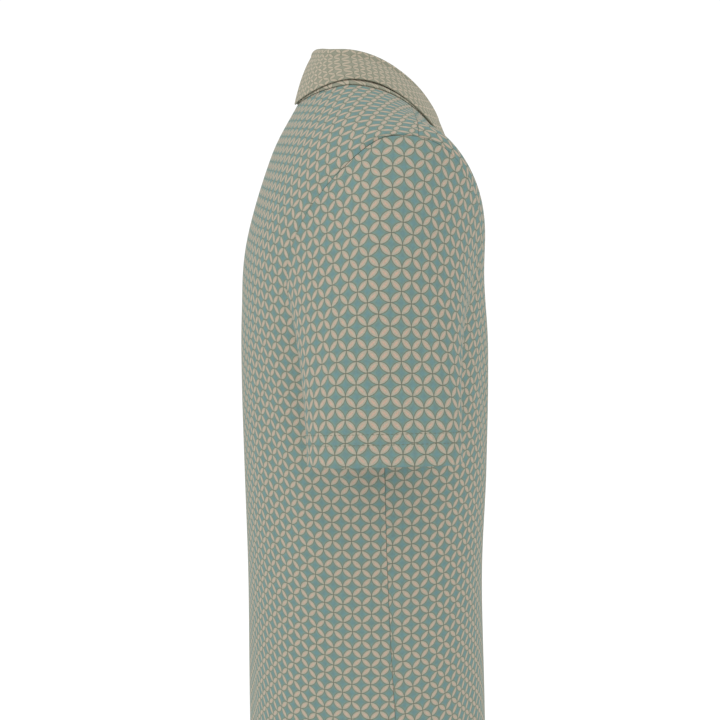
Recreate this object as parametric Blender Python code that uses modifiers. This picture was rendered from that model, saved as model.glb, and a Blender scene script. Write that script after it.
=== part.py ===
"""Short-sleeved polo shirt, filled out as if worn with the arms hanging, in metres.

+Z is up, the chest faces -Y and the wearer's left is +X. The origin is the middle of the neck hole.
The trunk of the shirt is one smooth form, made of closed loops stacked from the hem to the neck seam.
Front and back are cut from that form along the side, armhole and shoulder seams. The sleeves, the
collar, the placket strips and the buttons are worked out from its points.
"""

import functools
import math
from collections import namedtuple

import bmesh
import bpy
from mathutils import Matrix, Vector

# Cloth and sewing
CLOTH = 0.0012  # wall of the jersey panels
COLLAR_CLOTH = 0.0016  # collar: two layers with an interlining
SEAM_GAP = 0.0003  # between pieces that are sewn together
SEAM_STRIP = 0.0020  # narrow column along a seam, so that the walls on both sides end square to the form

# Levels are heights up the side of the shirt; above the shoulder point they run on along the shoulder.
HEM_LEVEL = -0.700
UNDERARM_LEVEL = -0.228
SHOULDER_LEVEL = -0.049
NECK_LEVEL = 0.098
PLACKET_LEVEL = -0.196  # lower end of the slit in the front

# Half width of the armhole before and behind the line from side seam to shoulder seam, and how far its
# widest place is moved up
ARMHOLE_FRONT = 0.084
ARMHOLE_BACK = 0.098
FRONT_LIFT = 0.20
BACK_LIFT = 0.20

# Rows and columns of the panels
BODY_ROWS = 8
ARMHOLE_ROWS = 12
SHOULDER_ROWS = 6
PANEL_COLUMNS = 11  # on each side, outside the placket
SLEEVE_ROWS = 10
LOOP_STEPS = 96  # points on half a loop, from centre front to centre back
FRONT_FALL = 2  # power with which a loop falls from its ridge to the middle of the front
BACK_FALL = 1.5  # and of the back
CORNER = 30  # how soon the sharp turn of the ridge at the shoulder point softens to the front and back
BACK_SOFTENING = 0.045  # levels over which it is spread at the back, up and down
SOFT_REACH = 0.14  # from the shoulder point's level to where nothing is softened
NEARBY = 0.0015  # from a point to the neighbours that give its direction

# Sleeve: the hem is a tilted oval
HEM_CENTRE = Vector((0.2435, 0.0085, -0.2775))
HEM_HALF_DEPTH = 0.0548  # front to back
HEM_HALF_WIDTH = 0.0520  # side to side
HEM_FRONT_POWER = 3.2  # which square off the front and back halves of the oval
HEM_BACK_POWER = 2.5
SLEEVE_LEAN = math.radians(15.6)  # of the sleeve away from upright
CAP_DROP = math.radians(50)  # below level, where the sleeve leaves the shoulder point
UNDERARM_DROP = math.radians(72)  # below level, where it leaves the underarm
FRONT_DROP_POWER = 1.6  # above 1 gives the front of the armhole more of the small drop
BACK_DROP_POWER = 0.6  # below 1 gives its back more of the large one
SLEEVE_GAP = 0.0005  # from the armhole seam, along and out, so that walls at an angle clear each other
START_PULL = 0.75  # how strongly a column follows its direction at the armhole, in its own lengths
HEM_PULL = 1.05  # and at the hem
NARROWING = 2.0  # how soon the tube narrows to the depth of its hem

# Placket and buttons
SLIT_HALF = 0.0140
PLACKET_HALF = 0.0165
PLACKET_OVERLAP = 0.0080  # of the strips below the slit
PLACKET_SHORT = 0.0015  # from the neck seam to the top of the strips
BUTTON_RADIUS = 0.0055
BUTTON_THICK = 0.0024
BUTTON_TAPER = 0.9  # of its radius at the face
BUTTON_DROPS = (0.016, 0.074, 0.132)  # down the placket from the neck seam

# A loop of the form. The ridge is its point farthest from the middle, at the side or on the shoulder;
# seam_y is where the side or shoulder seam crosses it. The powers square off the front and back halves.
Loop = namedtuple(
    "Loop",
    "level half_width ridge_y ridge_z front_y front_z back_y back_z seam_y front_power back_power",
)
LOOPS = (
    Loop(-0.700, 0.1850, -0.006, -0.700, -0.1210, -0.700, 0.1165, -0.700, -0.0150, 2.35, 2.45),  # hem
    Loop(-0.580, 0.1830, -0.004, -0.580, -0.1140, -0.580, 0.1155, -0.580, -0.0130, 2.35, 2.45),  # hip
    Loop(-0.450, 0.1790, -0.002, -0.450, -0.1085, -0.450, 0.1140, -0.455, -0.0055, 2.35, 2.45),  # waist
    Loop(-0.330, 0.1800, 0.000, -0.330, -0.1105, -0.330, 0.1150, -0.348, -0.0005, 2.35, 2.45),  # ribs
    Loop(-0.228, 0.1880, 0.000, -0.228, -0.1075, -0.226, 0.1155, -0.266, 0.0010, 2.40, 2.45),  # underarm
    Loop(-0.140, 0.2080, 0.001, -0.140, -0.0990, -0.176, 0.1140, -0.203, -0.0080, 2.55, 2.40),  # chest
    Loop(-0.049, 0.2200, 0.003, -0.046, -0.0935, -0.124, 0.1080, -0.138, -0.0180, 2.60, 2.20),  # shoulder
    Loop(0.025, 0.1440, 0.014, -0.021, -0.0815, -0.092, 0.0840, -0.062, -0.0260, 2.50, 2.10),  # mid shoulder
    Loop(0.070, 0.0980, 0.019, -0.006, -0.0745, -0.071, 0.0620, -0.021, -0.0300, 2.30, 2.00),  # by the neck
    Loop(0.098, 0.0725, 0.018, 0.001, -0.0700, -0.057, 0.0490, -0.002, -0.0310, 2.00, 2.00),  # neck seam
)

# Collar stations from centre front (0) round to centre back (1) of the neck seam. stand is the height of
# the fold, lean how far it leans to the neck, roll its outer radius and bulge how far the leaf swells below
# it. The edge of the leaf lies off the shirt, cover outside the seam along the shirt, and around is where
# on a loop's half length it lies.
Station = namedtuple("Station", "place stand lean roll bulge cover around off")
COLLAR = (
    Station(0.00, 0.0260, 0.0085, 0.0035, 0.0000, 0.076, 0.170, 0.0024),
    Station(0.12, 0.0250, 0.0085, 0.0036, 0.0000, 0.062, 0.240, 0.0022),
    Station(0.25, 0.0240, 0.0085, 0.0038, 0.0012, 0.048, 0.330, 0.0023),
    Station(0.40, 0.0215, 0.0085, 0.0048, 0.0045, 0.036, 0.430, 0.0030),
    Station(0.55, 0.0215, 0.0085, 0.0052, 0.0050, 0.026, 0.540, 0.0048),
    Station(0.70, 0.0245, 0.0085, 0.0060, 0.0050, 0.021, 0.660, 0.0042),
    Station(0.85, 0.0290, 0.0125, 0.0065, 0.0040, 0.0215, 0.830, 0.0032),
    Station(1.00, 0.0320, 0.0145, 0.0070, 0.0036, 0.0245, 1.000, 0.0030),
)
COLLAR_COLUMNS = 15  # on each side of centre back
COLLAR_END = 0.0040  # from centre front to the end of the collar
COLLAR_LIFT = 0.00045  # of the stand's foot above the neck seam
LEAF_BEND = 0.35  # down the leaf, where it swells most
STAND_ROWS = 3
ROLL_ROWS = 4
LEAF_ROWS = 5


def hermite(start, start_pull, end, end_pull, t):
    """A smooth curve from start to end, for numbers or points, with the pulls as its directions there."""
    return (
        start * (2 * t**3 - 3 * t**2 + 1)
        + start_pull * (t**3 - 2 * t**2 + t)
        + end * (3 * t**2 - 2 * t**3)
        + end_pull * (t**3 - t**2)
    )


def between(rows, key, at, sharp=True):
    """Every column of a table of rows, read off a smooth curve at the place `at` of the key column.

    If sharp, the ridge turns sharply at the shoulder point, where the shoulder line meets the sleeve."""
    keys = [getattr(row, key) for row in rows]
    at = min(max(at, keys[0]), keys[-1])
    i = min(max(sum(k <= at for k in keys) - 1, 0), len(rows) - 2)
    span = keys[i + 1] - keys[i]
    t = (at - keys[i]) / span

    def slope(j, column):
        low, high = max(j - 1, 0), min(j + 1, len(rows) - 1)
        if sharp and keys[j] == SHOULDER_LEVEL and rows[0]._fields[column] in ("half_width", "ridge_z"):
            low, high = i, i + 1
        return (rows[high][column] - rows[low][column]) / (keys[high] - keys[low])

    values = []
    for column in range(len(rows[0])):
        pull, next_pull = slope(i, column) * span, slope(i + 1, column) * span
        values.append(hermite(rows[i][column], pull, rows[i + 1][column], next_pull, t))
    return type(rows[0])(*values)


def softened(level, softening):
    """Half width and ridge_z of a loop off its ridge, where the turn at the shoulder is a soft one."""
    share = min(abs(level - SHOULDER_LEVEL) / SOFT_REACH, 1)
    spread = softening * (1 - share**2) ** 2
    low, middle, high = (between(LOOPS, "level", level + step, False) for step in (-spread, 0, spread))
    half_width = (low.half_width + 2 * middle.half_width + high.half_width) / 4
    return half_width, (low.ridge_z + 2 * middle.ridge_z + high.ridge_z) / 4


@functools.lru_cache(maxsize=None)
def half_loop(level):
    """The wearer's left half of a loop: its points, and how far round from centre front each one is."""
    loop = between(LOOPS, "level", level)
    front_soft, back_soft = softened(level, 0), softened(level, BACK_SOFTENING)
    points = []
    for k in range(LOOP_STEPS + 1):
        angle = math.pi * k / LOOP_STEPS
        c, s = abs(math.cos(angle)), abs(math.sin(angle))
        front = k * 2 < LOOP_STEPS
        end_y, end_z = (loop.front_y, loop.front_z) if front else (loop.back_y, loop.back_z)
        power = loop.front_power if front else loop.back_power
        sharpness = s**CORNER
        soft_width, soft_z = front_soft if front else back_soft
        half_width = soft_width + (loop.half_width - soft_width) * sharpness
        ridge_z = soft_z + (loop.ridge_z - soft_z) * sharpness
        x = half_width * s ** (2 / power)
        y = loop.ridge_y + (end_y - loop.ridge_y) * c ** (2 / power)
        z = ridge_z + (end_z - ridge_z) * c ** (FRONT_FALL if front else BACK_FALL)
        points.append(Vector((x, y, z)))
    reach = [0.0]
    for a, b in zip(points, points[1:]):
        reach.append(reach[-1] + (b - a).length)
    return points, reach


def reach_at_y(level, y):
    """How far round from centre front the half loop crosses a plane of constant y."""
    points, reach = half_loop(level)
    for k in range(LOOP_STEPS):
        a, b = points[k].y, points[k + 1].y
        if a <= y <= b:
            return reach[k] + (reach[k + 1] - reach[k]) * (y - a) / max(b - a, 1e-9)
    return reach[-1]


def on_form(level, reach_round):
    """A point of the form, by its level and how far round from centre front, negative on the right."""
    points, reach = half_loop(level)
    s = min(abs(reach_round), reach[-1])
    k = min(sum(r < s for r in reach[1:]), LOOP_STEPS - 1)
    t = (s - reach[k]) / (reach[k + 1] - reach[k])
    point = points[k].lerp(points[k + 1], t)
    return Vector((math.copysign(1, reach_round) * point.x, point.y, point.z))


def off_form(level, reach_round, out):
    """The same point, moved out from the form by a distance."""
    low, high = max(level - NEARBY, HEM_LEVEL), min(level + NEARBY, NECK_LEVEL)
    across = on_form(level, reach_round + NEARBY) - on_form(level, reach_round - NEARBY)
    upwards = on_form(high, reach_round) - on_form(low, reach_round)
    return on_form(level, reach_round) + across.cross(upwards).normalized() * out


def armhole_angle(level):
    """0 at the underarm and below, pi at the shoulder point and above."""
    share = (level - UNDERARM_LEVEL) / (SHOULDER_LEVEL - UNDERARM_LEVEL)
    return math.acos(1 - 2 * min(max(share, 0), 1))


def armhole_level(angle):
    """The level at an angle round the armhole."""
    return UNDERARM_LEVEL + (SHOULDER_LEVEL - UNDERARM_LEVEL) * (1 - math.cos(angle)) / 2


def seam_reach(level, side):
    """How far round the edge of the front (side -1) or the back (side 1) is, from hem to neck."""
    middle = between(LOOPS, "level", level).seam_y
    width, lift = (ARMHOLE_FRONT, FRONT_LIFT) if side < 0 else (ARMHOLE_BACK, BACK_LIFT)
    angle = armhole_angle(level)
    return reach_at_y(level, middle) + side * width * (math.sin(angle) - lift * math.sin(2 * angle))


def panel_levels():
    """The level of each row of a panel, closer together at the ends of the armhole."""
    body = [HEM_LEVEL + (UNDERARM_LEVEL - HEM_LEVEL) * k / BODY_ROWS for k in range(BODY_ROWS)]
    arm = [armhole_level(math.pi * k / ARMHOLE_ROWS) for k in range(ARMHOLE_ROWS)]
    shoulder = NECK_LEVEL - SHOULDER_LEVEL
    top = [SHOULDER_LEVEL + shoulder * k / SHOULDER_ROWS for k in range(SHOULDER_ROWS + 1)]
    return body + arm + top


LEVELS = panel_levels()


def object_of(name, bm, colour, thickness):
    """An object from a surface whose faces point out, with its cloth put on the inside."""
    mesh = bpy.data.meshes.new(name)
    bm.to_mesh(mesh)
    bm.free()
    mesh.shade_smooth()
    item = bpy.data.objects.new(name, mesh)
    SHIRT.objects.link(item)
    if thickness:
        wall = item.modifiers.new("cloth", "SOLIDIFY")
        wall.thickness = thickness
        wall.offset = -1
    item.data.materials.append(material(*colour))
    return item


def material(name, rgb, roughness):
    """A finish, made once and shared by the pieces that have it."""
    found = bpy.data.materials.get(name)
    if found:
        return found
    made = bpy.data.materials.new(name)
    made.use_nodes = True
    shader = made.node_tree.nodes["Principled BSDF"]
    shader.inputs["Base Color"].default_value = (*rgb, 1)
    shader.inputs["Roughness"].default_value = roughness
    return made


JERSEY = ("printed_jersey", (0.27, 0.36, 0.32), 0.85)
COLLAR_JERSEY = ("collar_jersey", (0.40, 0.38, 0.29), 0.85)
BUTTON_RESIN = ("button_resin", (0.55, 0.50, 0.40), 0.35)


def loft(name, rows, colour, thickness, closed=False, left_out=()):
    """A surface through rows of points. Seen from outside, a row runs to the right, the next above it."""
    bm = bmesh.new()
    grid = [[bm.verts.new(point) for point in row] for row in rows]
    for j, (low, high) in enumerate(zip(grid, grid[1:])):
        for i in range(len(low) - (not closed)):
            if (j, i) in left_out:
                continue
            n = (i + 1) % len(low)
            bm.faces.new((low[i], low[n], high[n], high[i]))
    bmesh.ops.delete(bm, geom=[v for v in bm.verts if not v.link_faces], context="VERTS")
    return object_of(name, bm, colour, thickness)


def front():
    """One piece from side seam to side seam, with a slit for the placket."""
    rows, left_out = [], set()
    for j, level in enumerate(LEVELS):
        edge = seam_reach(level, -1) - SEAM_GAP / 2
        width = edge - SEAM_STRIP - SLIT_HALF
        outer = [SLIT_HALF + width * k / PANEL_COLUMNS for k in range(PANEL_COLUMNS + 1)] + [edge]
        places = [-s for s in reversed(outer)] + [0.0] + outer
        rows.append([on_form(level, s) for s in places])
        if level >= PLACKET_LEVEL:
            left_out |= {(j, PANEL_COLUMNS + 1), (j, PANEL_COLUMNS + 2)}
    loft("front", rows, JERSEY, CLOTH, left_out=left_out)


def back():
    """One piece from side seam to side seam round the back, reaching over the shoulders."""
    rows = []
    for level in LEVELS:
        whole = half_loop(level)[1][-1]
        edge = seam_reach(level, 1) + SEAM_GAP / 2
        first = edge + SEAM_STRIP
        places = [edge] + [first + (whole - first) * k / PANEL_COLUMNS for k in range(PANEL_COLUMNS + 1)]
        left = [on_form(level, s) for s in places]
        right = [Vector((-p.x, p.y, p.z)) for p in reversed(left[:-1])]
        rows.append(left + right)
    loft("back", rows, JERSEY, CLOTH)


def armhole_ring():
    """The seam round the left armhole: up its front edge from the underarm, then down its back edge.

    An entry is an angle, 0 at the underarm and pi at the shoulder point, a point and its outward normal."""
    ring = []
    for k in range(2 * ARMHOLE_ROWS):
        angle = math.pi * k / ARMHOLE_ROWS
        level = armhole_level(angle)
        place = seam_reach(level, -1 if k <= ARMHOLE_ROWS else 1)
        point = on_form(level, place)
        ring.append((angle, point, (off_form(level, place, 1) - point).normalized()))
    return ring


def sleeve(name, side):
    """A tube from the armhole to a tilted oval hem, through curves that leave the shoulder smoothly."""
    along = Vector((math.sin(SLEEVE_LEAN), 0, -math.cos(SLEEVE_LEAN)))
    outward = Vector((math.cos(SLEEVE_LEAN), 0, math.sin(SLEEVE_LEAN)))
    columns = []
    for angle, seam, normal in armhole_ring():
        c, s = math.cos(angle), math.sin(angle)
        power = HEM_FRONT_POWER if s > 0 else HEM_BACK_POWER
        drop_power = FRONT_DROP_POWER if s > 0 else BACK_DROP_POWER
        drop = CAP_DROP + (UNDERARM_DROP - CAP_DROP) * ((1 + c) / 2) ** drop_power
        leave = Vector((math.cos(drop), 0, -math.sin(drop)))
        start = seam + (leave + normal) * SLEEVE_GAP
        swell = (abs(c) ** power + abs(s) ** power) ** (-1 / power)
        end = HEM_CENTRE - outward * HEM_HALF_WIDTH * swell * c
        end.y -= HEM_HALF_DEPTH * swell * s
        span = (end - start).length
        first = leave * START_PULL * span
        first.y = NARROWING * (end.y - start.y)
        last = along * HEM_PULL * span
        column = [hermite(start, first, end, last, k / SLEEVE_ROWS) for k in range(SLEEVE_ROWS + 1)]
        columns.append([Vector((p.x * side, p.y, p.z)) for p in column])
    rows = [[column[j] for column in columns] for j in range(SLEEVE_ROWS, -1, -1)]
    if side < 0:
        rows = [list(reversed(row)) for row in rows]
    loft(name, rows, JERSEY, CLOTH, closed=True)


def collar_column(place):
    """One profile of the collar: up the inside of the stand, over the fold, and down the leaf."""
    station = between(COLLAR, "place", place)
    whole = half_loop(NECK_LEVEL)[1][-1]
    seam_place = COLLAR_END + (whole - COLLAR_END) * place
    seam = on_form(NECK_LEVEL, seam_place)
    run = on_form(NECK_LEVEL, seam_place + NEARBY) - on_form(NECK_LEVEL, seam_place - NEARBY)
    if place == 1:
        run = Vector((-1, 0, 0))
    out = Vector((run.y, -run.x, 0)).normalized()
    up = Vector((0, 0, 1))
    foot = seam - out * (COLLAR_CLOTH / 2) + up * COLLAR_LIFT
    top = foot - out * station.lean + up * (station.stand - station.roll)
    points = [foot.lerp(top, k / STAND_ROWS) for k in range(STAND_ROWS)]
    middle = top + out * station.roll
    for k in range(ROLL_ROWS + 1):
        turn = math.pi * k / ROLL_ROWS
        points.append(middle - out * station.roll * math.cos(turn) + up * station.roll * math.sin(turn))
    start = points[-1]
    level = NECK_LEVEL - station.cover
    edge = off_form(level, half_loop(level)[1][-1] * station.around, station.off)
    if place == 1:
        edge.x = 0
    bend = start.lerp(edge, LEAF_BEND) + out * station.bulge
    for k in range(1, LEAF_ROWS + 1):
        t = k / LEAF_ROWS
        points.append(start * (1 - t) ** 2 + bend * (2 * t * (1 - t)) + edge * t**2)
    return points


def collar():
    """Stand and leaf cut in one, from end to end round the neck."""
    left = [collar_column(k / COLLAR_COLUMNS) for k in range(COLLAR_COLUMNS + 1)]
    right = [[Vector((-p.x, p.y, p.z)) for p in column] for column in reversed(left[:-1])]
    columns = left + right
    rows = [[column[j] for column in columns] for j in range(len(columns[0]))]
    loft("collar", [list(reversed(row)) for row in rows], COLLAR_JERSEY, COLLAR_CLOTH)


def placket(name, out):
    """A strip over or under the slit, whose outer face is this far outside the front."""
    levels = [PLACKET_LEVEL - PLACKET_OVERLAP] + [level for level in LEVELS if level > PLACKET_LEVEL]
    levels[-1] -= PLACKET_SHORT
    places = [PLACKET_HALF * k / 2 for k in range(-2, 3)]
    rows = [[off_form(level, s, out) for s in places] for level in levels]
    loft(name, rows, JERSEY, CLOTH)


def button(name, drop):
    """A round button on the upper strip, facing the way the strip faces."""
    seam = on_form(NECK_LEVEL, 0)
    level = NECK_LEVEL
    while (on_form(level, 0) - seam).length < drop:
        level -= 0.001
    foot = off_form(level, 0, CLOTH + 3 * SEAM_GAP)
    facing = (foot - on_form(level, 0)).normalized()
    bm = bmesh.new()
    bmesh.ops.create_cone(
        bm,
        cap_ends=True,
        segments=24,
        radius1=BUTTON_RADIUS,
        radius2=BUTTON_RADIUS * BUTTON_TAPER,
        depth=BUTTON_THICK,
    )
    turn = facing.to_track_quat("Z", "Y").to_matrix().to_4x4()
    centre = foot + facing * BUTTON_THICK / 2
    bmesh.ops.transform(bm, matrix=Matrix.Translation(centre) @ turn, verts=bm.verts)
    object_of(name, bm, BUTTON_RESIN, 0)


for leftover in list(bpy.data.objects):
    bpy.data.objects.remove(leftover)
SHIRT = bpy.data.collections.new("polo_shirt")
bpy.context.scene.collection.children.link(SHIRT)

front()
back()
sleeve("sleeve_left", 1)
sleeve("sleeve_right", -1)
collar()
placket("placket_upper", SEAM_GAP + CLOTH)
placket("placket_under", -CLOTH - SEAM_GAP)
for number, button_drop in enumerate(BUTTON_DROPS, start=1):
    button(f"button_{number}", button_drop)
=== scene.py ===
"""Short-sleeved polo shirt in printed jersey, filled out as if worn, in metres in the frame of its solids.

The shirt is put together here as in a sewing room: back, front, placket, sleeves, collar, hems, buttons.
"""

import functools
import math
from collections import namedtuple

import bmesh
import bpy
import numpy as np
from mathutils import Matrix, Vector


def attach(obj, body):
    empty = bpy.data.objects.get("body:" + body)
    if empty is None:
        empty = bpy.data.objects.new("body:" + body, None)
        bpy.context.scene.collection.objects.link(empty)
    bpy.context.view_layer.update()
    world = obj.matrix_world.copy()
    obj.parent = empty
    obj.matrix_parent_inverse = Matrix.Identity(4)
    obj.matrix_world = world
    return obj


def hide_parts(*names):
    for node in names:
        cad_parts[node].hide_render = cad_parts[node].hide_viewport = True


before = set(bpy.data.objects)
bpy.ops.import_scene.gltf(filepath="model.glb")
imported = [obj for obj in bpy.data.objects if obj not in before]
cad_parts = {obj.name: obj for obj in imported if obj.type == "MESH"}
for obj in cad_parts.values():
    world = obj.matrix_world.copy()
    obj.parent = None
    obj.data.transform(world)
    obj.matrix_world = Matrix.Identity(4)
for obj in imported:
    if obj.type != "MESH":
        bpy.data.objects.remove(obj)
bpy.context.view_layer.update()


# ---- Studio ------------------------------------------------------------------------------------------
# A white room: a pale floor at the height of the wearer's feet, white light from all round and one large
# soft lamp high behind the shirt. The camera looks at the wearer's right side from a little above.

FLOOR_LEVEL = -1.40
FLOOR_SIZE = 60
VIEW_SIDE = math.radians(265)  # round from the front, by the wearer's right
VIEW_HEIGHT = math.radians(12)
VIEW_DISTANCE = 0.929
VIEW_MIDDLE = (0, 0.004, -0.055)


def mesh_object(name, bm):
    """A smooth object made of a bmesh."""
    mesh = bpy.data.meshes.new(name)
    bm.to_mesh(mesh)
    bm.free()
    mesh.shade_smooth()
    item = bpy.data.objects.new(name, mesh)
    bpy.context.scene.collection.objects.link(item)
    return item


bm = bmesh.new()
bmesh.ops.create_grid(bm, x_segments=1, y_segments=1, size=FLOOR_SIZE / 2)
bmesh.ops.translate(bm, vec=(0, 0, FLOOR_LEVEL), verts=bm.verts)
floor = mesh_object("floor", bm)
floor_paint = bpy.data.materials.new("floor_paint")
floor_paint.use_nodes = True
floor_shader = floor_paint.node_tree.nodes["Principled BSDF"]
floor_shader.inputs["Base Color"].default_value = (0.95, 0.95, 0.95, 1)
floor_shader.inputs["Emission Color"].default_value = (1, 1, 1, 1)
floor_shader.inputs["Emission Strength"].default_value = 0.06
floor_shader.inputs["Roughness"].default_value = 0.9
floor.data.materials.append(floor_paint)

room = bpy.data.worlds.new("room")
room.use_nodes = True
room.node_tree.nodes["Background"].inputs["Color"].default_value = (1, 1, 1, 1)
room.node_tree.nodes["Background"].inputs["Strength"].default_value = 1.05
bpy.context.scene.world = room
bpy.context.scene.view_settings.view_transform = "Standard"


def lamp(name, place, aim, size, power):
    """A square soft lamp that shines from a place towards another."""
    light = bpy.data.lights.new(name, "AREA")
    light.size = size
    light.energy = power
    item = bpy.data.objects.new(name, light)
    item.location = place
    item.rotation_euler = (Vector(aim) - Vector(place)).to_track_quat("-Z", "Y").to_euler()
    bpy.context.scene.collection.objects.link(item)


lamp("back_lamp", (-1.4, 1.9, 1.5), (0, 0, -0.2), 1.4, 9)

towards_front = Vector((math.sin(VIEW_SIDE), -math.cos(VIEW_SIDE), 0))
look_back = towards_front * math.cos(VIEW_HEIGHT) + Vector((0, 0, math.sin(VIEW_HEIGHT)))
camera = bpy.data.objects.new("camera", bpy.data.cameras.new("camera"))
camera.data.lens = 50
camera.data.sensor_width = 36
camera.location = Vector(VIEW_MIDDLE) + towards_front * VIEW_DISTANCE
camera.rotation_euler = look_back.to_track_quat("Z", "Y").to_euler()
bpy.context.scene.collection.objects.link(camera)
bpy.context.scene.camera = camera


# ---- Back --------------------------------------------------------------------------------------------
# One piece of printed cotton jersey from side seam to side seam, reaching over the shoulders. Its edges
# are turned in where it is sewn to the front, the sleeves and the collar, and its hem is turned up.

HEM_LEVEL = -0.700
UNDERARM_LEVEL = -0.228
SHOULDER_LEVEL = -0.049
NECK_LEVEL = 0.098
ARMHOLE_FRONT = 0.084
ARMHOLE_BACK = 0.098
FRONT_LIFT = 0.20
BACK_LIFT = 0.20
SEAM_GAP = 0.0003  # between the solids
SEWN_GAP = 0.0001  # between the turned edges
NEARBY = 0.0015
JERSEY_THICK = 0.0008

# A loop of the trunk's form, from the hem to the neck seam, as in the solids.
Loop = namedtuple(
    "Loop",
    "level half_width ridge_y ridge_z front_y front_z back_y back_z seam_y front_power back_power",
)
LOOPS = (
    Loop(-0.700, 0.1850, -0.006, -0.700, -0.1210, -0.700, 0.1165, -0.700, -0.0150, 2.35, 2.45),  # hem
    Loop(-0.580, 0.1830, -0.004, -0.580, -0.1140, -0.580, 0.1155, -0.580, -0.0130, 2.35, 2.45),  # hip
    Loop(-0.450, 0.1790, -0.002, -0.450, -0.1085, -0.450, 0.1140, -0.455, -0.0055, 2.35, 2.45),  # waist
    Loop(-0.330, 0.1800, 0.000, -0.330, -0.1105, -0.330, 0.1150, -0.348, -0.0005, 2.35, 2.45),  # ribs
    Loop(-0.228, 0.1880, 0.000, -0.228, -0.1075, -0.226, 0.1155, -0.266, 0.0010, 2.40, 2.45),  # underarm
    Loop(-0.140, 0.2080, 0.001, -0.140, -0.0990, -0.176, 0.1140, -0.203, -0.0080, 2.55, 2.40),  # chest
    Loop(-0.049, 0.2200, 0.003, -0.046, -0.0935, -0.124, 0.1080, -0.138, -0.0180, 2.60, 2.20),  # shoulder
    Loop(0.025, 0.1440, 0.014, -0.021, -0.0815, -0.092, 0.0840, -0.062, -0.0260, 2.50, 2.10),  # mid shoulder
    Loop(0.070, 0.0980, 0.019, -0.006, -0.0745, -0.071, 0.0620, -0.021, -0.0300, 2.30, 2.00),  # by the neck
    Loop(0.098, 0.0725, 0.018, 0.001, -0.0700, -0.057, 0.0490, -0.002, -0.0310, 2.00, 2.00),  # neck seam
)
LOOP_STEPS = 384  # points on half a loop
FRONT_FALL = 2  # how a loop falls from its ridge to centre front
BACK_FALL = 1.5  # and to centre back
CORNER = 30  # how closely a loop's sharp turn keeps to its ridge
BACK_SOFTENING = 0.045  # the back's soft turn at the shoulder is a mean over this much of its level
SOFT_REACH = 0.14  # and the softening ends this far from the shoulder's level


def hermite(start, start_pull, end, end_pull, t):
    """A smooth curve from start to end, for numbers or points, with the pulls as its directions there."""
    return (
        start * (2 * t**3 - 3 * t**2 + 1)
        + start_pull * (t**3 - 2 * t**2 + t)
        + end * (3 * t**2 - 2 * t**3)
        + end_pull * (t**3 - t**2)
    )


def between(rows, key, at, sharp=True):
    """Every column of a table of rows, read off a smooth curve at the place `at` of the key column.

    If sharp, the ridge turns sharply at the shoulder point, where the shoulder line meets the sleeve."""
    keys = [getattr(row, key) for row in rows]
    at = min(max(at, keys[0]), keys[-1])
    i = min(max(sum(k <= at for k in keys) - 1, 0), len(rows) - 2)
    span = keys[i + 1] - keys[i]
    t = (at - keys[i]) / span

    def slope(j, column):
        low, high = max(j - 1, 0), min(j + 1, len(rows) - 1)
        if sharp and keys[j] == SHOULDER_LEVEL and rows[0]._fields[column] in ("half_width", "ridge_z"):
            low, high = i, i + 1
        return (rows[high][column] - rows[low][column]) / (keys[high] - keys[low])

    values = []
    for column in range(len(rows[0])):
        pull, next_pull = slope(i, column) * span, slope(i + 1, column) * span
        values.append(hermite(rows[i][column], pull, rows[i + 1][column], next_pull, t))
    return type(rows[0])(*values)


def unit(vectors):
    """The same directions, one long."""
    return vectors / np.maximum(np.linalg.norm(vectors, axis=-1, keepdims=True), 1e-12)


def measured(points):
    """How far along a line of points each one is."""
    steps = np.linalg.norm(np.diff(points, axis=0), axis=1)
    return np.concatenate(([0.0], np.cumsum(steps)))


def read_off(at, length, points):
    """The points of a line at distances along it, where length is how far along its own points are."""
    return np.stack([np.interp(at, length, column) for column in points.T], axis=-1)


def softened(level, softening):
    """Half width and ridge_z of a loop off its ridge, where the turn at the shoulder is a soft one."""
    share = min(abs(level - SHOULDER_LEVEL) / SOFT_REACH, 1)
    spread = softening * (1 - share**2) ** 2
    low, middle, high = (between(LOOPS, "level", level + step, False) for step in (-spread, 0, spread))
    half_width = (low.half_width + 2 * middle.half_width + high.half_width) / 4
    return half_width, (low.ridge_z + 2 * middle.ridge_z + high.ridge_z) / 4


@functools.lru_cache(maxsize=None)
def half_loop(level):
    """The wearer's left half of a loop: its points, and how far round from centre front each one is."""
    loop = between(LOOPS, "level", level)
    angle = np.linspace(0, math.pi, LOOP_STEPS + 1)
    c, s = abs(np.cos(angle)), abs(np.sin(angle))
    front = angle < math.pi / 2
    end_y = np.where(front, loop.front_y, loop.back_y)
    end_z = np.where(front, loop.front_z, loop.back_z)
    power = np.where(front, loop.front_power, loop.back_power)
    sharpness = s**CORNER
    front_soft, back_soft = softened(level, 0), softened(level, BACK_SOFTENING)
    soft_width, soft_z = (np.where(front, f, b) for f, b in zip(front_soft, back_soft))
    half_width = soft_width + (loop.half_width - soft_width) * sharpness
    ridge_z = soft_z + (loop.ridge_z - soft_z) * sharpness
    x = half_width * s ** (2 / power)
    y = loop.ridge_y + (end_y - loop.ridge_y) * c ** (2 / power)
    z = ridge_z + (end_z - ridge_z) * c ** np.where(front, FRONT_FALL, BACK_FALL)
    points = np.stack((x, y, z), axis=1)
    return points, measured(points)


def on_form(level, reach):
    """Points of the form, by their level and how far round from centre front, negative on the right."""
    points, length = half_loop(level)
    places = read_off(abs(reach), length, points)
    places[:, 0] = np.copysign(places[:, 0], reach)
    return places


def normal_of_form(level, reach):
    """Which way the form faces there."""
    low, high = max(level - NEARBY, HEM_LEVEL), min(level + NEARBY, NECK_LEVEL)
    across = on_form(level, reach + NEARBY) - on_form(level, reach - NEARBY)
    upwards = on_form(high, reach) - on_form(low, reach)
    return unit(np.cross(across, upwards))


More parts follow.
